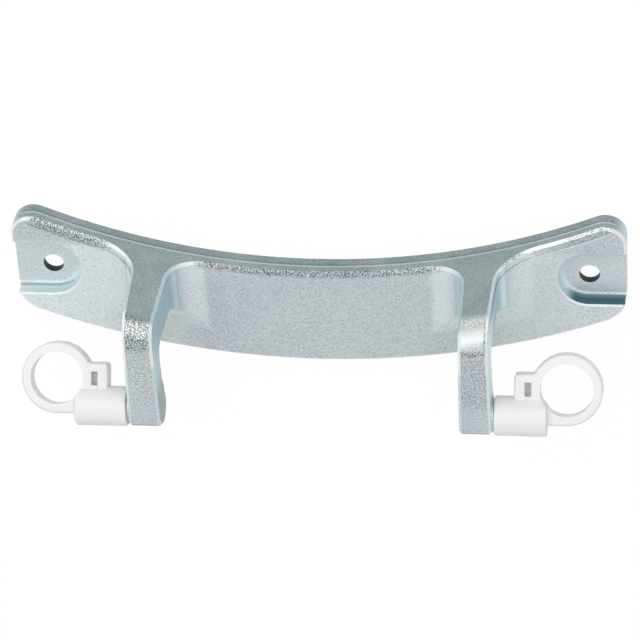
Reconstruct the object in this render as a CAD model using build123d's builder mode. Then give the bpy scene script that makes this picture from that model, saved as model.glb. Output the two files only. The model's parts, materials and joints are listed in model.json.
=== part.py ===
"""Washing machine door hinge: a die-cast zinc bracket, two steel pins and two plastic bushes.

The bracket lies on its back. X runs along it, Y points to the middle of the porthole, and Z
comes out of its front. The origin lies on the back face, midway between the two screw holes.
"""
import os
from math import cos, radians, sin, sqrt

from build123d import *

os.makedirs("parts", exist_ok=True)

# Crescent plate, sizes in millimetres. Its long edges rise from the middle to the screw holes.
plate_length = 194.6
plate_t = 7.9
top_mid_y = 1.7
top_rise = 17.48
bottom_mid_y = -32.8
bottom_rise = 15.66
top_corner_r = 6.8
bottom_corner_r = 10.5
parting_z = 3.8
rear_draft_deg = 2.5
edge_break = 0.85

# Screw seats, sunk into the front at both ends
hole_inset = 11.8
hole_d = 6.6
seat_t = 2.9
seat_r = 9.7
seat_rise = 1.2
seat_fillet_r = 2.0
seat_lip_chamfer = 0.5

# Arms, seen from above and from the side
arm_inset = 33.6
arm_root_width = 11.4
arm_tip_width = 8.9
knuckle_width = 10.0
inner_root_r = 12.0
outer_root_r = 13.0
root_run = 1.2
arm_top_y = 8.0
arm_depth = 12.2
hanger_t = 9.0
bend_r = 7.0
inner_bend_r = 4.5
under_root_r = 15.0
knuckle_r = 6.0
knuckle_relief = 4.6
knuckle_relief_length = 9.4

# Parting bead along the outer top edges
bead_drop = 3.05
bead_width = 0.35
bead_height = 0.2
bead_root = 0.5
bead_end_gap = 6.0

# Cored back
wall_t = 2.9
rib_t = 2.4
rib_count = 4
core_corner_r = 2.0
arm_pad_width = 16.0

# Pin axis, pins and the bosses that they leave the knuckles by
pin_y = -27.1
pin_z = 41.7
pin_d = 6.0
pin_seat_depth = 8.5
pin_tip_gap = 0.8
pin_chamfer = 0.5
boss_r = 5.0
boss_height = 0.35

# Bushes
bush_end_gap = 0.2
bush_radial_gap = 0.05
sleeve_d = 12.6
sleeve_length = 16.4
sleeve_end_wall = 2.0
sleeve_chamfer = 0.5
eye_offset = 6.0
eye_rise = 8.8
eye_bore_r = 8.35
eye_outer_r = 11.2
eye_t = 6.4
tab_inset = 6.1
tab_rise = 4.8
tab_corner_r = 1.2
recess_inset = 9.4
recess_width = 2.05
recess_height = 4.4
recess_depth = 4.4
eye_chamfer = 0.6
left_droop_deg = 31.0
right_droop_deg = 28.4

# Places that follow from the sizes
near = 0.01
reach = plate_length
hole_x = plate_length / 2 - hole_inset
arm_mid_x = hole_x - arm_inset
top_arc_r = (hole_x**2 + top_rise**2) / (2 * top_rise)
bottom_arc_r = (hole_x**2 + bottom_rise**2) / (2 * bottom_rise)
front_z = pin_z + knuckle_r
root_taper = (arm_root_width - arm_tip_width) / 2 / (front_z - plate_t)
arm_draft = (knuckle_width - arm_tip_width) / 2 / (arm_top_y - pin_y)
knuckle_side_x = arm_mid_x + knuckle_width / 2 + (front_z - pin_z) * root_taper
hanger_back_z = front_z - hanger_t
top_arc_y = top_mid_y + top_arc_r
under_arc_r = top_arc_r + arm_depth
arm_under_y = top_arc_y - sqrt(under_arc_r**2 - arm_mid_x**2)
bottom_arc_y = bottom_mid_y + bottom_arc_r
core_end_x = hole_x - seat_r - wall_t
boss_face_x = knuckle_side_x + boss_height
bush_x = boss_face_x + bush_end_gap
bush_bore_depth = sleeve_length - sleeve_end_wall
pin_length = pin_seat_depth + bush_end_gap + bush_bore_depth - pin_tip_gap


def top_y(x):
    """Height of the plate's concave top edge at x."""
    return top_arc_y - sqrt(top_arc_r**2 - x**2)


def half_foot(y):
    """Half the width of an arm at height y, where its sides meet the plate's front."""
    return arm_root_width / 2 + (arm_top_y - y) * arm_draft


# Outline of the crescent plate, seen from the front
with BuildSketch(Plane.XY.offset(parting_z)) as outline:
    with Locations((0, bottom_arc_y)):
        Circle(bottom_arc_r)
    with Locations((0, top_arc_y)):
        Circle(top_arc_r, mode=Mode.SUBTRACT)
    Rectangle(plate_length, reach, mode=Mode.INTERSECT)
    fillet(outline.vertices().group_by(Axis.Y)[-1], top_corner_r)
    fillet(outline.vertices().group_by(Axis.Y)[0], bottom_corner_r)

# Side limits of the arms: a body that follows the arc of the top edge, and a straight hanger with its knuckle
with BuildPart() as arm_limits:
    with BuildSketch(Plane.YZ):
        with BuildLine():
            under_root = (top_mid_y - arm_depth, plate_t + under_root_r)
            under_foot = (top_mid_y - arm_depth - under_root_r, plate_t)
            RadiusArc(under_root, under_foot, under_root_r)
            Polyline(
                under_foot,
                (under_foot[0], parting_z),
                (top_mid_y + arm_depth, parting_z),
                (top_mid_y + arm_depth, front_z),
                (under_root[0], front_z),
                under_root,
            )
        make_face()
    revolve(axis=Axis((0, top_arc_y, 0), (0, 0, 1)))
    with BuildSketch(Plane.YZ):
        with BuildLine():
            Polyline(
                (reach, hanger_back_z),
                (reach, front_z),
                (pin_y, front_z),
                (pin_y, pin_z - knuckle_relief),
                (pin_y + knuckle_relief, pin_z - knuckle_relief),
                (pin_y + knuckle_relief_length, hanger_back_z),
                close=True,
            )
        make_face()
        with Locations((pin_y, pin_z)):
            Circle(knuckle_r)
    extrude(amount=reach)

# Arms: plan outlines with flared roots that widen downwards, cut to the side limits
with BuildPart() as arms:
    for y in (reach / 4, -reach / 4):
        with BuildSketch(Plane.XZ.offset(-y)) as arm_plan:
            with BuildLine():
                half_end = half_foot(y) - (2 * front_z - plate_t) * root_taper
                inner_x = arm_mid_x - half_foot(y)
                outer_x = arm_mid_x + half_foot(y)
                Polyline(
                    (inner_x - root_run * inner_root_r, parting_z),
                    (inner_x - root_run * inner_root_r, plate_t),
                    (inner_x, plate_t),
                    (arm_mid_x - half_end, 2 * front_z),
                    (arm_mid_x + half_end, 2 * front_z),
                    (outer_x, plate_t),
                    (outer_x + root_run * outer_root_r, plate_t),
                    (outer_x + root_run * outer_root_r, parting_z),
                    close=True,
                )
            make_face()
            fillet(arm_plan.vertices().sort_by_distance((inner_x, plate_t))[0], inner_root_r)
            fillet(arm_plan.vertices().sort_by_distance((outer_x, plate_t))[0], outer_root_r)
    loft(ruled=True)
    add(arm_limits.part, mode=Mode.INTERSECT)
    with BuildSketch(Plane.XY):
        with Locations((0, top_arc_y)):
            Circle(top_arc_r)
    extrude(amount=reach, mode=Mode.SUBTRACT)
    fillet(arms.edges().sort_by_distance((arm_mid_x, arm_top_y, front_z))[0], bend_r)
    fillet(arms.edges().sort_by_distance((arm_mid_x, arm_under_y, hanger_back_z))[0], inner_bend_r)
    mirror(about=Plane.YZ)

# Parting bead: a thin ridge that follows the outer root and the arm's side below the top edge
with BuildPart() as beads:
    bend_z = front_z - bend_r
    bead_z = plate_t + bead_height
    bead_end_x = plate_length / 2 - bead_end_gap
    bead_foot_x = half_foot(top_y(arm_mid_x) - bead_drop) + arm_mid_x + bead_height
    with BuildSketch(Plane.XZ.offset(-reach / 2)) as bead_plan:
        with BuildLine():
            Polyline(
                (arm_mid_x, bend_z),
                (bead_foot_x - (bend_z - bead_z) * root_taper, bend_z),
                (bead_foot_x, bead_z),
                (bead_end_x, bead_z),
                (bead_end_x, bead_z - bead_root),
                (arm_mid_x, bead_z - bead_root),
                close=True,
            )
        make_face()
        bead_root_corner = bead_plan.vertices().sort_by_distance((bead_foot_x, bead_z))[0]
        fillet(bead_root_corner, outer_root_r - bead_height)
    extrude(amount=reach)
    with BuildSketch(Plane.XY):
        with Locations((0, top_arc_y)):
            Circle(top_arc_r + bead_drop + bead_width / 2)
            Circle(top_arc_r + bead_drop - bead_width / 2, mode=Mode.SUBTRACT)
        with Locations((0, -reach)):
            Rectangle(2 * reach, 4 * reach, mode=Mode.INTERSECT)
    extrude(amount=reach, mode=Mode.INTERSECT)
    mirror(about=Plane.YZ)

# Bracket: plate and arms are one casting
with BuildPart() as bracket:
    # Front half of the plate, square to the parting plane, and every front edge broken in one chain
    add(outline.sketch)
    extrude(amount=plate_t - parting_z)
    add(arms.part)
    rims = [bracket.edges().sort_by_distance((x, top_y(x), plate_t))[0] for x in (0, hole_x, -hole_x)]
    chamfer(rims, edge_break)
    add(beads.part)

    # Rear half, drafted towards the back
    add(outline.sketch)
    extrude(amount=-parting_z, taper=rear_draft_deg)

    # Screw seats, open at the plate's ends
    with BuildSketch(Plane.XY.offset(seat_t)):
        for side in (-1, 1):
            with Locations((side * hole_x, seat_rise)):
                Circle(seat_r)
            with Locations((side * (hole_x + reach / 4), seat_rise)):
                Rectangle(reach / 2, 2 * seat_r)
    extrude(amount=plate_t, mode=Mode.SUBTRACT)
    floors = bracket.faces().filter_by(Axis.Z).filter_by_position(Axis.Z, seat_t - near, seat_t + near)
    end_x = plate_length / 2 - edge_break
    floor_edges = floors.edges().filter_by_position(Axis.X, -end_x, end_x)
    fillet(floor_edges, seat_fillet_r)
    lip_x = hole_x - seat_r
    lips = [bracket.edges().sort_by_distance((x, seat_rise, plate_t))[0] for x in (-lip_x, lip_x)]
    chamfer(lips, seat_lip_chamfer)
    with Locations((-hole_x, 0, seat_t), (hole_x, 0, seat_t)):
        Hole(hole_d / 2, 2 * seat_t)

    # Cored back, with cross ribs between the arms and a solid pad behind each arm
    with BuildSketch(Plane.XY) as cores:
        with Locations((0, bottom_arc_y)):
            Circle(bottom_arc_r - wall_t)
        with Locations((0, top_arc_y)):
            Circle(top_arc_r + wall_t, mode=Mode.SUBTRACT)
        Rectangle(2 * core_end_x, reach, mode=Mode.INTERSECT)
        with Locations((-arm_mid_x, 0), (arm_mid_x, 0)):
            Rectangle(arm_pad_width, reach, mode=Mode.SUBTRACT)
        rib_pitch = (2 * arm_mid_x - arm_pad_width + rib_t) / (rib_count + 1)
        with GridLocations(rib_pitch, 0, rib_count, 1):
            Rectangle(rib_t, reach, mode=Mode.SUBTRACT)
        fillet(cores.vertices(), core_corner_r)
    extrude(amount=plate_t - wall_t, mode=Mode.SUBTRACT)

    # Thrust bosses on the knuckles and the blind bores that the pins are pressed into
    for side in (-1, 1):
        with BuildSketch(Plane.YZ.offset(side * boss_face_x)):
            with Locations((pin_y, pin_z)):
                Circle(boss_r)
        extrude(amount=-side * (boss_face_x - arm_mid_x))
        with BuildSketch(Plane.YZ.offset(side * boss_face_x)):
            with Locations((pin_y, pin_z)):
                Circle(pin_d / 2)
        extrude(amount=-side * pin_seat_depth, mode=Mode.SUBTRACT)
bracket.part.label = "bracket"
export_step(bracket.part, "parts/bracket.step")

# Pins and bushes, a pair at each end
for side, name, droop_deg in ((-1, "left", left_droop_deg), (1, "right", right_droop_deg)):
    # Pin: ground steel, chamfered at the tip that the bush slides over
    with BuildPart() as pin:
        with BuildSketch(Plane.YZ.offset(side * (boss_face_x - pin_seat_depth))):
            with Locations((pin_y, pin_z)):
                Circle(pin_d / 2)
        extrude(amount=side * pin_length)
        tip = pin.edges().filter_by(GeomType.CIRCLE).sort_by_distance((side * reach, pin_y, pin_z))[0]
        chamfer(tip, pin_chamfer)
    pin.part.label = f"{name}_pin"
    export_step(pin.part, f"parts/{name}_pin.step")

    # Bush: a sleeve on the pin, with a flat eye and a tab in one plane through the pin axis
    droop = radians(droop_deg)
    eye_plane = Plane(origin=(0, pin_y, pin_z), x_dir=(1, 0, 0), z_dir=(0, sin(droop), cos(droop)))
    eye_x = bush_x + sleeve_length + eye_offset
    tab_x = bush_x + tab_inset
    with BuildPart() as bush:
        with BuildSketch(eye_plane.offset(-eye_t / 2)) as eye_plate:
            with Locations((side * eye_x, eye_rise)):
                Circle(eye_outer_r)
            with BuildLine():
                Polyline(
                    (side * tab_x, 0),
                    (side * tab_x, eye_rise + tab_rise),
                    (side * eye_x, eye_rise + tab_rise),
                    (side * eye_x, eye_rise - eye_outer_r),
                    (side * (bush_x + sleeve_length - sleeve_end_wall), eye_rise - eye_outer_r),
                    (side * (bush_x + sleeve_length - sleeve_end_wall), 0),
                    close=True,
                )
            make_face()
            neck_x = eye_x - sqrt(eye_outer_r**2 - tab_rise**2)
            for x in (tab_x, neck_x):
                corner = (side * x, eye_rise + tab_rise)
                fillet(eye_plate.vertices().sort_by_distance(corner)[0], tab_corner_r)
        extrude(amount=eye_t)
        chamfer(bush.faces().filter_by(eye_plane).edges(), eye_chamfer)
        with BuildSketch(eye_plane) as sleeve_half:
            with Locations((side * (bush_x + sleeve_length / 2), sleeve_d / 4)):
                Rectangle(sleeve_length, sleeve_d / 2)
            chamfer(sleeve_half.vertices().group_by(Axis.Y)[-1], sleeve_chamfer)
        revolve(axis=Axis((0, pin_y, pin_z), (1, 0, 0)))
        with BuildSketch(eye_plane.offset(-sleeve_d)):
            with Locations((side * eye_x, eye_rise)):
                Circle(eye_bore_r)
        extrude(amount=2 * sleeve_d, mode=Mode.SUBTRACT)
        with BuildSketch(eye_plane.offset(eye_t / 2 - recess_depth)):
            with Locations((side * (bush_x + recess_inset + recess_width / 2), eye_rise)):
                Rectangle(recess_width, recess_height)
        extrude(amount=recess_depth, mode=Mode.SUBTRACT)
        with BuildSketch(Plane.YZ.offset(side * bush_x)):
            with Locations((pin_y, pin_z)):
                Circle(pin_d / 2 + bush_radial_gap)
        extrude(amount=side * bush_bore_depth, mode=Mode.SUBTRACT)
    bush.part.label = f"{name}_bush"
    export_step(bush.part, f"parts/{name}_bush.step")
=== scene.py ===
"""Washing machine door hinge: its casting, pins and bushes get their finish, in a white studio."""
import json
from math import cos, sin

import bpy
from mathutils import Matrix, Vector

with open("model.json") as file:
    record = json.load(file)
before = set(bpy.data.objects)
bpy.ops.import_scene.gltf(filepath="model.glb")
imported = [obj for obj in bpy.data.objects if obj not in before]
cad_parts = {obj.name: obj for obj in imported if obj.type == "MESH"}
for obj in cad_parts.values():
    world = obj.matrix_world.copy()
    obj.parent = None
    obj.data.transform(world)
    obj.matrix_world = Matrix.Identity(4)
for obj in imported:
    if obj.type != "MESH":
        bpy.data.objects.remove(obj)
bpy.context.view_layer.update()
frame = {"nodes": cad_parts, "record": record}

# Casting: one zinc die casting, blasted after it left the die. Its front is painted a lighter
# lavender grey than its darker blue grey walls, as light and shade by the way each face looks, and
# its broken edges are rubbed bright and carry painted highlights.
# It is screwed to the washer's front through two sunk seats.
ARC_CENTRE = Vector((0.0, 0.2195, 0.0))  # of the plate's concave edge
ARC_RADIUS = 0.21784

# Heights above the back, from the parting line up to the arms' bends
PARTING_Z = 0.0038
PARTING_FADE = 0.00015
RIM_Z = 0.0063
FRONT_Z = 0.0079
ARM_FOOT_Z = 0.013
KNUCKLE_Z = 0.037
BEND_Z = 0.0423
ARM_FRONT_Z = 0.04675

# Stretches along the plate: how far the specks go, and where the front grows paler
BITTEN_MIDDLE_X = 0.0385
BITTEN_LEFT_X = -0.0665
BITTEN_TIP_X = -0.091
BITTEN_RIGHT_X = 0.078
RIGHT_SPOTS_X = (0.0615, 0.0905)
PALE_END_X = 0.058
PALE_END_Y = 0.011
BEAD_X = 0.056
PLATE_TIP_X = 0.0875
PLATE_END_X = 0.0968

# Depths below the concave edge's arc: of the specks and of the bead
BITTEN_DEPTH = 0.0027
BITTEN_MIDDLE_DEPTH = 0.0019
BEAD_DEPTH = 0.003

# Arms and screw seats. A seat is round at its inner end and straight from SEAT_FLAT_X on.
LEFT_ARM_X = (-0.064, -0.041)
UNDER_ARM_Y = -0.0155
KNUCKLE_Y = -0.021
BEND_Y = 0.0006
RIGHT_BEND_SIDE_X = 0.0556
SEAT_X = 0.075
SEAT_FLAT_X = 0.0795
SEAT_HALF_WIDTH = 0.012
SEAT_FADE = 0.0005
SEAT_FLOOR_Z = 0.0032
SEAT_LIP_Z = 0.0073

# What blasting leaves: how fine each pattern is and how deep it goes
DRIFTS_PER_METRE = 28.0
CLOUDS_PER_METRE = 90.0
GRAINS_PER_METRE = 2100.0
SPECKS_PER_METRE = 2500.0
GRAIN_DEPTH = 0.00006

screw_holes = next(mount for mount in frame["record"]["mounts"] if mount["name"] == "screw_holes")
hole_x = screw_holes["dims"]["spacing_x_mm"] / 2 / 1000
hole_reach = screw_holes["dims"]["hole_r_mm"] / 1000 + 0.0002

LAVENDER = (0.63, 0.685, 0.75, 1.0)
GREENISH = (0.64, 0.71, 0.715, 1.0)
PALE = (0.88, 0.96, 0.985, 1.0)
WALL_GREY = (0.27, 0.345, 0.35, 1.0)
SIDE_REFLECTION_BLUE = (0.52, 0.71, 0.78, 1.0)
RUBBED_AND_HIGHLIGHT = (0.80, 0.94, 0.95, 1.0)
BRIGHT = (0.96, 0.99, 0.99, 1.0)
TEAL = (0.07, 0.19, 0.23, 1.0)
PIT_AND_SHADE_BLACK = (0.03, 0.045, 0.05, 1.0)
HOLE_SHADE_BLACK = (0.003, 0.026, 0.032, 1.0)


class Socket:
    """A shader socket that takes part in sums: each sign adds one Math node."""

    def __init__(self, finish, link):
        self.finish = finish
        self.link = link

    def sum_with(self, operation, first, second=0.0):
        return self.finish.add("ShaderNodeMath", {"operation": operation}, {0: first, 1: second})

    def __add__(self, other):
        return self.sum_with("ADD", self, other)

    def __sub__(self, other):
        return self.sum_with("SUBTRACT", self, other)

    def __rsub__(self, other):
        return self.sum_with("SUBTRACT", other, self)

    def __mul__(self, other):
        return self.sum_with("MULTIPLY", self, other)

    __radd__ = __add__

    def __or__(self, other):
        """The larger of two masks: where either of them is."""
        return self.sum_with("MAXIMUM", self, other)

    def __abs__(self):
        return self.sum_with("ABSOLUTE", self)

    def rise(self, start, end):
        """0 before start, 1 past end, and smooth between them. The end may be the lower one."""
        settings = {"interpolation_type": "SMOOTHSTEP"}
        ends = {"From Min": start, "From Max": end}
        return self.finish.add("ShaderNodeMapRange", settings, {"Value": self, **ends})

    def above(self, level, fade):
        """1 above a level and 0 below it, smooth over the fade on both sides."""
        return self.rise(level - fade, level + fade)

    def below(self, level, fade):
        return self.rise(level + fade, level - fade)

    def near(self, level, reach, fade):
        """1 within a reach of a level and 0 further off."""
        return abs(self - level).below(reach, fade)


class Finish:
    """A material in the making, on the Principled shader that it starts with."""

    def __init__(self, name, colour=None):
        self.material = bpy.data.materials.new(name)
        self.material.use_nodes = True
        self.tree = self.material.node_tree
        self.shader = self.tree.nodes["Principled BSDF"]
        self.colour = colour

    def add(self, kind, settings=None, inputs=None, output=0):
        """Adds a node, sets it, feeds its sockets and gives back one of its outputs."""
        node = self.tree.nodes.new(kind)
        for key, value in (settings or {}).items():
            setattr(node, key, value)
        for key, value in (inputs or {}).items():
            self.feed(node.inputs[key], value)
        return Socket(self, node.outputs[output])

    def feed(self, socket, value):
        if isinstance(value, Socket):
            self.tree.links.new(value.link, socket)
        else:
            socket.default_value = value

    def set(self, **values):
        """Feeds sockets of the shader, with underscores for the spaces in their names."""
        for key, value in values.items():
            self.feed(self.shader.inputs[key.replace("_", " ")], value)

    def place(self, output):
        """An output of Texture Coordinate, such as Object or Normal."""
        return self.add("ShaderNodeTexCoord", output=output)

    def axes(self, vector):
        """The three numbers of a vector."""
        return [self.add("ShaderNodeSeparateXYZ", None, {0: vector}, axis) for axis in range(3)]

    def vector(self, operation, first, second=(0.0, 0.0, 0.0), output=0):
        inputs = {0: first, 1: second}
        return self.add("ShaderNodeVectorMath", {"operation": operation}, inputs, output)

    def noise(self, place, cycles_per_metre, detail=2.0, roughness=0.5):
        sizes = {"Scale": cycles_per_metre, "Detail": detail, "Roughness": roughness}
        return self.add("ShaderNodeTexNoise", None, {"Vector": place, **sizes})

    def mix(self, mask, first, second):
        """The first colour where the mask is 0, and the second where it is 1."""
        first_colour, second_colour, mixed_colour = 6, 7, 2
        inputs = {"Factor": mask, first_colour: first, second_colour: second}
        return self.add("ShaderNodeMix", {"data_type": "RGBA"}, inputs, mixed_colour)

    def lay(self, mask, colour):
        """Lays a colour over those laid before it, where the mask is 1."""
        self.colour = self.mix(mask, self.colour, colour)

    def bump(self, height, depth):
        """A normal from a height that runs from 0 to 1, over depth metres."""
        inputs = {"Height": height, "Distance": depth, "Strength": 1.0}
        return self.add("ShaderNodeBump", None, inputs)


zinc = Finish("blasted_zinc", WALL_GREY)
here = zinc.place("Object")
normal = zinc.place("Normal")
x, y, z = zinc.axes(here)
out_x, out_y, out_z = zinc.axes(normal)

# How far a face looks to the arc's centre (1 on the concave wall) and its depth below the arc
to_centre = zinc.vector("MULTIPLY", zinc.vector("SUBTRACT", ARC_CENTRE, here), (1.0, 1.0, 0.0))
inward = zinc.vector("DOT_PRODUCT", zinc.vector("NORMALIZE", to_centre), normal, 1)
below_arc = zinc.vector("LENGTH", to_centre, output=1) - ARC_RADIUS

# Where on the casting a point is, and which way its face looks
across = abs(x)
sideways = abs(out_x)
right = x.above(0.0, 0.01)
left = x.below(0.0, 0.01)
middle = across.below(BITTEN_MIDDLE_X, 0.0025)
left_end = x.below(BITTEN_LEFT_X, 0.0035) * x.above(BITTEN_TIP_X, 0.0015)
front = out_z.rise(0.25, 0.92)
wall = inward.rise(0.5, 0.8)
on_arm = z.above(ARM_FOOT_Z, 0.001)
on_plate = 1 - on_arm
shank = on_arm * front * y.above(KNUCKLE_Y, 0.003)
outward = (x * out_x).above(0.0, 0.005)
off_side = sideways.rise(0.5, 0.25)

# Finely broken light, as blasting leaves it: clouds, grain and hard specks
clouds = zinc.noise(here, CLOUDS_PER_METRE, 3.0, 0.55)
grain = zinc.noise(here, GRAINS_PER_METRE, 2.0, 0.6)
specks = zinc.noise(here, SPECKS_PER_METRE, 1.0).rise(0.47, 0.55)

# Front: painted lighter than the walls, as the light that a front face catches, in two tints that
# drift into each other at random. It is paler on the plate's ends and in the seats, the left end
# more so as painted light, and painted light lies on the arms' roots, where the front turns
# sideways
drift = zinc.noise(here, DRIFTS_PER_METRE, 1.0).rise(0.35, 0.65)
zinc.lay(front, zinc.mix(drift, LAVENDER, GREENISH))
ends = across.above(PALE_END_X, 0.008) * y.below(PALE_END_Y, 0.002) * (0.75 - x * 3.0)
ends = ends * z.above(SEAT_LIP_Z, 0.0003)
seat_floor = across.above(SEAT_X - 0.00025, 0.00075) * z.below(SEAT_LIP_Z, 0.0003)
root = sideways.rise(0.02, 0.25) * on_plate
zinc.lay(front * (ends | seat_floor * 0.4 | root * 0.8) * on_plate, PALE)
# Painted shade on the arms' fronts, more on the right arm
zinc.lay(shank * (0.09 + x * 0.9), PIT_AND_SHADE_BLACK)
# Painted light on faces of the plate that look down, and under the left arm, lifting the shade and
# shadow there
zinc.lay(out_y.rise(-0.03, -0.3) * front * on_plate * 0.7, PALE)
under_left_arm = x.above(LEFT_ARM_X[0], 0.006) * x.below(LEFT_ARM_X[1], 0.004)
under_left_arm = under_left_arm * y.below(UNDER_ARM_Y, 0.002) * front * on_plate
zinc.lay(under_left_arm * 0.8, GREENISH)
zinc.lay(under_left_arm * 0.3, PALE)

# Sides: painted a lighter blue, as the light and reflection that they catch, and less so towards
# the knuckles
side = sideways.rise(0.35, 0.95) * (1 - out_z.rise(0.3, 0.8))
zinc.lay(side * (0.85 - y.below(UNDER_ARM_Y - 0.0015, 0.005) * 0.7), SIDE_REFLECTION_BLUE)

# Concave wall: a little darker below where the die's halves met, a thin dark line there, and a
# line of painted highlight in front of it
zinc.lay(wall * z.below(PARTING_Z, 0.0002) * 0.12, PIT_AND_SHADE_BLACK)
zinc.lay(wall * z.near(PARTING_Z - 0.0003, 0.00045, PARTING_FADE) * 0.6, TEAL)
parting_highlight = wall * z.near(PARTING_Z + 0.0006, 0.00035, PARTING_FADE)
zinc.lay(parting_highlight * (0.15 + grain.rise(0.4, 0.6) * 0.35), BRIGHT)

# The grain over everything, stronger on the arms' fronts
strength = 0.35 + front * 0.35 + shank * 0.5
zinc.lay(grain.rise(0.5, 0.72) * strength * 0.48, PIT_AND_SHADE_BLACK)
zinc.lay(grain.rise(0.5, 0.3) * strength * 0.65, BRIGHT)
zinc.lay(clouds.rise(0.4, 0.75) * 0.1, BRIGHT)

# Edges along the arms, round the plate's ends and along its front: rubbed bright and with painted
# highlight, most beside the bends; painted light on the right arm's outer side
arm_edge = sideways.rise(0.25, 0.5) * (out_z | out_y).rise(0.25, 0.5) * on_arm
zinc.lay(arm_edge * (0.2 + out_z.rise(0.25, 0.5) * 0.4 + outward * 0.35), RUBBED_AND_HIGHLIGHT)
beside_bend = z.above(BEND_Z + 0.0012, 0.001) | outward * z.above(BEND_Z - 0.0028, 0.0015)
zinc.lay(arm_edge * y.above(BEND_Y - 0.0081, 0.0015) * beside_bend, BRIGHT)
outer_side = outward * sideways.rise(0.6, 0.9) * z.above(KNUCKLE_Z - 0.005, 0.002)
zinc.lay(outer_side * right * 0.6, RUBBED_AND_HIGHLIGHT)
end_edge = across.above(PLATE_TIP_X, 0.0015) * sideways.rise(0.3, 0.6)
end_edge = end_edge * out_z.rise(0.22, 0.6) * z.above(RIM_Z, 0.0003)
zinc.lay(end_edge * 0.9, BRIGHT)
half_up = inward.rise(0.22, 0.6) * out_z.rise(0.22, 0.6)
front_edge = half_up * z.above(RIM_Z, 0.0003)
zinc.lay(front_edge * (0.95 - (middle * 0.85 | left_end * 0.65)), BRIGHT)

# Bends of the arms: a faint painted highlight on both, and a stronger one along the right bend's
# soft and grainy borders
on_bend = z.above(BEND_Z, 0.0017) * off_side
bend = on_bend * (y - x * 0.033).above(BEND_Y, 0.0014)
above_bend = wall * z.above(BEND_Z - 0.0038, 0.0025)
below_bend = out_z.rise(0.85, 0.97) * z.above(ARM_FRONT_Z, 0.00025)
below_bend = below_bend * y.above(BEND_Y - 0.0016, 0.0006)
bend_borders = (above_bend + below_bend) * right * off_side
zinc.lay(bend * 0.05 | bend_borders * (0.35 + grain.rise(0.56, 0.44) * 0.45), BRIGHT)

# Salt and pepper where the blasting bit: in the middle of the front edge and at both its ends,
# in two spots on its right, on the left bend, round the right bend and at the seats' lips
in_seat = y.near(0.0, SEAT_HALF_WIDTH, SEAT_FADE)
straight_seat = across.above(SEAT_FLAT_X, 0.002)
right_seat = x.above(SEAT_FLAT_X, 0.002)
below_ends = below_arc.below(BITTEN_DEPTH, 0.0003)
below_ends = below_ends * (left_end | x.above(BITTEN_RIGHT_X, 0.004) * 0.6)
below_middle = below_arc.below(BITTEN_MIDDLE_DEPTH, 0.0007) * middle
spots = x.near(RIGHT_SPOTS_X[0], 0.004, 0.001) | x.near(RIGHT_SPOTS_X[1], 0.002, 0.001)
bend_end = z.above(BEND_Z + 0.0006, 0.0007) * y.near(BEND_Y - 0.0001, 0.0011, 0.0007)
bend_end = bend_end * right * off_side
bend_side = x.near(RIGHT_BEND_SIDE_X, 0.00025, 0.0001)
bend_side = bend_side * z.above(BEND_Z - 0.0005, 0.0012) * y.above(BEND_Y - 0.0011, 0.001)
seat_lip = (front_edge | half_up * right_seat) * in_seat * straight_seat
bitten = (front_edge | front * on_plate) * (below_ends | below_middle)
bitten = bitten | front_edge * spots * 0.8 | bend * left | bend_end | bend_side | seat_lip
zinc.lay(bitten * specks * 0.74, PIT_AND_SHADE_BLACK)

# Painted shade: a dark line round the bottom of each knuckle, where its face turns down, and a
# little on the right bend, which is also rougher, against the lamp's glare
knuckle_shade_line = out_y.near(-0.66, 0.105, 0.035) * z.above(KNUCKLE_Z, 0.001)
zinc.lay(knuckle_shade_line * sideways.below(0.7, 0.1) * 0.55, TEAL)
right_bend = on_bend * y.above(BEND_Y - 0.0008, 0.0012) * right
zinc.lay(right_bend * 0.25, WALL_GREY)

# The bead beside the front edge: a white line of painted highlight on the right, a dark one of
# specks on the left
near_edge = below_arc.near(BEAD_DEPTH, 0.0009, 0.0003) | out_z.rise(0.97, 0.9)
bead = z.near(FRONT_Z + 0.0002, 0.00012, 0.00006) * near_edge
bead = bead * across.above(BEAD_X, 0.002) * (1 - wall)
zinc.lay(bead * right, BRIGHT)
zinc.lay(bead * left * specks * 0.6, PIT_AND_SHADE_BLACK)

# Screw seats: painted highlight on their low walls, with painted shade where they look half up and
# on the right one's straight part, and painted highlights on their lips. Painted shade darkens the
# holes' walls, and a square round each hole on the back.
seat_wall = across.above(SEAT_X, SEAT_FADE) * across.below(PLATE_END_X, 0.0002) * in_seat
seat_wall = seat_wall * z.above(SEAT_FLOOR_Z, 0.0002) * z.below(SEAT_LIP_Z + 0.00015, 0.00015)
zinc.lay(seat_wall * 0.8, RUBBED_AND_HIGHLIGHT)
zinc.lay(seat_wall * half_up * 0.7, WALL_GREY)
zinc.lay(seat_wall * right_seat * (1 - front * 0.7), TEAL)
lip_highlight = across.above(SEAT_X - 0.001, SEAT_FADE) * in_seat
lip_highlight = lip_highlight * z.near(SEAT_LIP_Z + 0.00035, 0.0003, 0.00005)
zinc.lay(lip_highlight * out_z.rise(0.3, 0.5) * out_z.rise(0.95, 0.85) * 0.85, BRIGHT)
hole = across.near(hole_x, hole_reach, 0.0001) * y.near(0.0, hole_reach, 0.0001)
zinc.lay(hole * (1 - front), HOLE_SHADE_BLACK)
zinc.set(
    Base_Color=zinc.colour,
    Metallic=0.6,
    Roughness=0.42 + grain * 0.12 + bitten * 0.25 + seat_wall * 0.2 + right_bend * 0.06,
    Normal=zinc.bump(grain * 0.7 + clouds * 0.3, GRAIN_DEPTH),
)

# The casting's solid comes as loose faces: they are joined, and edges under the crease angle
# are shaded as one surface, so that broken edges read as the small radii that they are.
JOIN_DISTANCE = 0.000002
CREASE_ANGLE = 0.6

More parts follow.
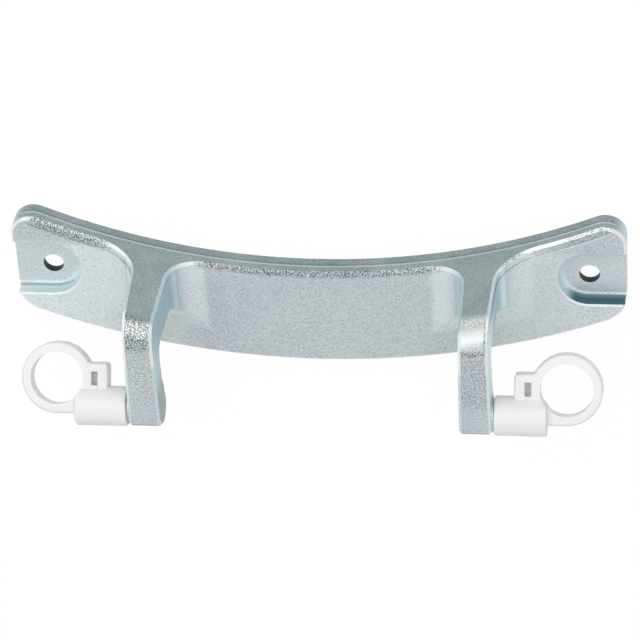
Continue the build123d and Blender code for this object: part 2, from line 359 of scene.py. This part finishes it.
crease = bpy.data.node_groups.new("joined_and_creased", "GeometryNodeTree")
crease.interface.new_socket("Geometry", in_out="INPUT", socket_type="NodeSocketGeometry")
crease.interface.new_socket("Join distance", in_out="INPUT", socket_type="NodeSocketFloat")
crease.interface.new_socket("Crease angle", in_out="INPUT", socket_type="NodeSocketFloat")
crease.interface.new_socket("Geometry", in_out="OUTPUT", socket_type="NodeSocketGeometry")
given = crease.nodes.new("NodeGroupInput")
result = crease.nodes.new("NodeGroupOutput")
join = crease.nodes.new("GeometryNodeMergeByDistance")
angle = crease.nodes.new("GeometryNodeInputMeshEdgeAngle")
shallow = crease.nodes.new("FunctionNodeCompare")
shallow.operation = "LESS_THAN"
faces = crease.nodes.new("GeometryNodeSetShadeSmooth")
edges = crease.nodes.new("GeometryNodeSetShadeSmooth")
edges.domain = "EDGE"
crease.links.new(given.outputs["Geometry"], join.inputs["Geometry"])
crease.links.new(given.outputs["Join distance"], join.inputs["Distance"])
crease.links.new(join.outputs["Geometry"], faces.inputs["Geometry"])
crease.links.new(faces.outputs["Geometry"], edges.inputs["Geometry"])
crease.links.new(angle.outputs["Unsigned Angle"], shallow.inputs["A"])
crease.links.new(given.outputs["Crease angle"], shallow.inputs["B"])
crease.links.new(shallow.outputs["Result"], edges.inputs["Shade Smooth"])
crease.links.new(edges.outputs["Geometry"], result.inputs["Geometry"])


def finish_node(name, finish, crease_angle):
    """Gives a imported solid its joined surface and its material."""
    solid = frame["nodes"][name]
    joined = solid.modifiers.new("joined", "NODES")
    joined.node_group = crease
    values = {"Join distance": JOIN_DISTANCE, "Crease angle": crease_angle}
    for item in crease.interface.items_tree:
        if item.in_out == "INPUT" and item.name in values:
            joined[item.identifier] = values[item.name]
    weighted = solid.modifiers.new("weighted", "WEIGHTED_NORMAL")
    weighted.keep_sharp = True
    solid.data.materials.clear()
    solid.data.materials.append(finish.material)


finish_node("bracket", zinc, CREASE_ANGLE)

# Pins: ground steel rods, pressed into the knuckles. Only the short gaps beside the bushes
# could show them. Grinding leaves fine rings round them.
STEEL_GREY = (0.60, 0.60, 0.59, 1.0)
STEEL_LIGHT = (0.75, 0.75, 0.74, 1.0)
RINGS_PER_METRE = 900.0
RING_DEPTH = 0.000008

steel = Finish("ground_steel")
wave = {"Vector": steel.place("Object"), "Scale": RINGS_PER_METRE, "Distortion": 1.5}
rings = steel.add("ShaderNodeTexWave", {"bands_direction": "X"}, wave, 1)
steel.set(
    Base_Color=steel.mix(rings * 0.4, STEEL_GREY, STEEL_LIGHT),
    Metallic=1.0,
    Roughness=0.24 + rings * 0.1,
    Normal=steel.bump(rings, RING_DEPTH),
)
for name in ("left_pin", "right_pin"):
    finish_node(name, steel, CREASE_ANGLE)

# Bushes: white acetal, each moulded as one piece with a fine satin skin. Light gets a little
# way into them. They turn on the pins, and their eyes take the pegs of the door.
MILK_WHITE = (0.865, 0.86, 0.845, 1.0)
FLOW_WHITE = (0.83, 0.825, 0.81, 1.0)
LIGHT_REACH = 0.002
PORES_PER_METRE = 1500.0
FLOWS_PER_METRE = 60.0
SKIN_DEPTH = 0.00002
BUSH_CREASE_ANGLE = 0.95

acetal = Finish("white_acetal")
spot = acetal.place("Object")
skin = acetal.noise(spot, PORES_PER_METRE)
flow = acetal.noise(spot, FLOWS_PER_METRE)
acetal.set(
    Base_Color=acetal.mix(flow.rise(0.3, 0.8) * 0.5, MILK_WHITE, FLOW_WHITE),
    Roughness=0.38 + skin * 0.1,
    Subsurface_Weight=0.5,
    Subsurface_Radius=(1.0, 1.0, 1.0),
    Subsurface_Scale=LIGHT_REACH,
    Normal=acetal.bump(skin * 0.6 + flow * 0.4, SKIN_DEPTH),
)
for name in ("left_bush", "right_bush"):
    finish_node(name, acetal, BUSH_CREASE_ANGLE)

# Table: white, and a hair below the casting's back. It glows white to the camera and in
# reflections, but for a tenth that keeps the hinge's faint shadow.
HALF_TABLE = 20.0
TABLE_DROP = 0.0001
TABLE_WHITE = (0.85, 0.85, 0.85, 1.0)
GLOW_STRENGTH = 1.03
GLOW_SHARE = 0.9

table_mesh = bpy.data.meshes.new("table")
near_corners = [(-HALF_TABLE, -HALF_TABLE, 0), (HALF_TABLE, -HALF_TABLE, 0)]
far_corners = [(HALF_TABLE, HALF_TABLE, 0), (-HALF_TABLE, HALF_TABLE, 0)]
table_mesh.from_pydata(near_corners + far_corners, [], [(0, 1, 2, 3)])
table = bpy.data.objects.new("table", table_mesh)
table.location.z = -TABLE_DROP
bpy.context.scene.collection.objects.link(table)

paper = Finish("white_table")
to_camera, in_gloss, through_glass = (
    paper.add("ShaderNodeLightPath", output=ray)
    for ray in ("Is Camera Ray", "Is Glossy Ray", "Is Transmission Ray")
)
seen = to_camera | in_gloss | through_glass
matt = paper.add("ShaderNodeBsdfDiffuse", None, {"Color": TABLE_WHITE})
glow = paper.add("ShaderNodeEmission", None, {"Strength": GLOW_STRENGTH})
blend = paper.add("ShaderNodeMixShader", None, {0: seen * GLOW_SHARE, 1: matt, 2: glow})
ending = next(node for node in paper.tree.nodes if node.type == "OUTPUT_MATERIAL")
paper.tree.links.new(blend.link, ending.inputs["Surface"])
table_mesh.materials.append(paper.material)

# Room and lamp: a plain white room, and one large soft lamp near the camera, which shines at
# the hinge from the porthole's side.
ROOM_STRENGTH = 0.64
LAMP_WIDTH = 1.3
LAMP_HEIGHT = 1.0
LAMP_WATTS = 5.6
LAMP_PLACE = Vector((-0.10, 0.62, 0.86))
LAMP_TARGET = Vector((0.0, 0.0, 0.02))

world = bpy.data.worlds.new("white_room")
world.use_nodes = True
room = world.node_tree.nodes["Background"]
room.inputs["Color"].default_value = (1.0, 1.0, 1.0, 1.0)
room.inputs["Strength"].default_value = ROOM_STRENGTH
bpy.context.scene.world = world

lamp_data = bpy.data.lights.new("soft_box", "AREA")
lamp_data.shape = "RECTANGLE"
lamp_data.size = LAMP_WIDTH
lamp_data.size_y = LAMP_HEIGHT
lamp_data.energy = LAMP_WATTS
lamp = bpy.data.objects.new("soft_box", lamp_data)
lamp.location = LAMP_PLACE
lamp.rotation_mode = "QUATERNION"
lamp.rotation_quaternion = (LAMP_PLACE - LAMP_TARGET).to_track_quat("Z", "Y")
bpy.context.scene.collection.objects.link(lamp)

# Camera: it looks down on the hinge from the porthole's side and a little from the right.
# Its angles are in radians, and its lens and sensor in millimetres.
AIM = Vector((0.0, -0.005, 0.015))
DISTANCE = 1.14645
TURN = 0.119
TILT = 0.63037
ROLL = 0.021765
LENS = 204.755
SENSOR_WIDTH = 36.0
SHIFT_X = 0.0061
SHIFT_Y = -0.026

back = Vector((sin(TURN), sin(TILT) * cos(TURN), cos(TILT) * cos(TURN)))
level_right = (Vector((1, 0, 0)) - back.x * back).normalized()
level_up = back.cross(level_right)
camera_right = cos(ROLL) * level_right + sin(ROLL) * level_up
camera_up = cos(ROLL) * level_up - sin(ROLL) * level_right
camera_data = bpy.data.cameras.new("camera")
camera_data.lens = LENS
camera_data.sensor_width = SENSOR_WIDTH
camera_data.shift_x = SHIFT_X
camera_data.shift_y = SHIFT_Y
camera = bpy.data.objects.new("camera", camera_data)
camera.location = AIM + DISTANCE * back
camera.rotation_mode = "QUATERNION"
camera.rotation_quaternion = Matrix((camera_right, camera_up, back)).transposed().to_quaternion()
bpy.context.scene.collection.objects.link(camera)
bpy.context.scene.camera = camera
bpy.context.scene.view_settings.view_transform = "Standard"
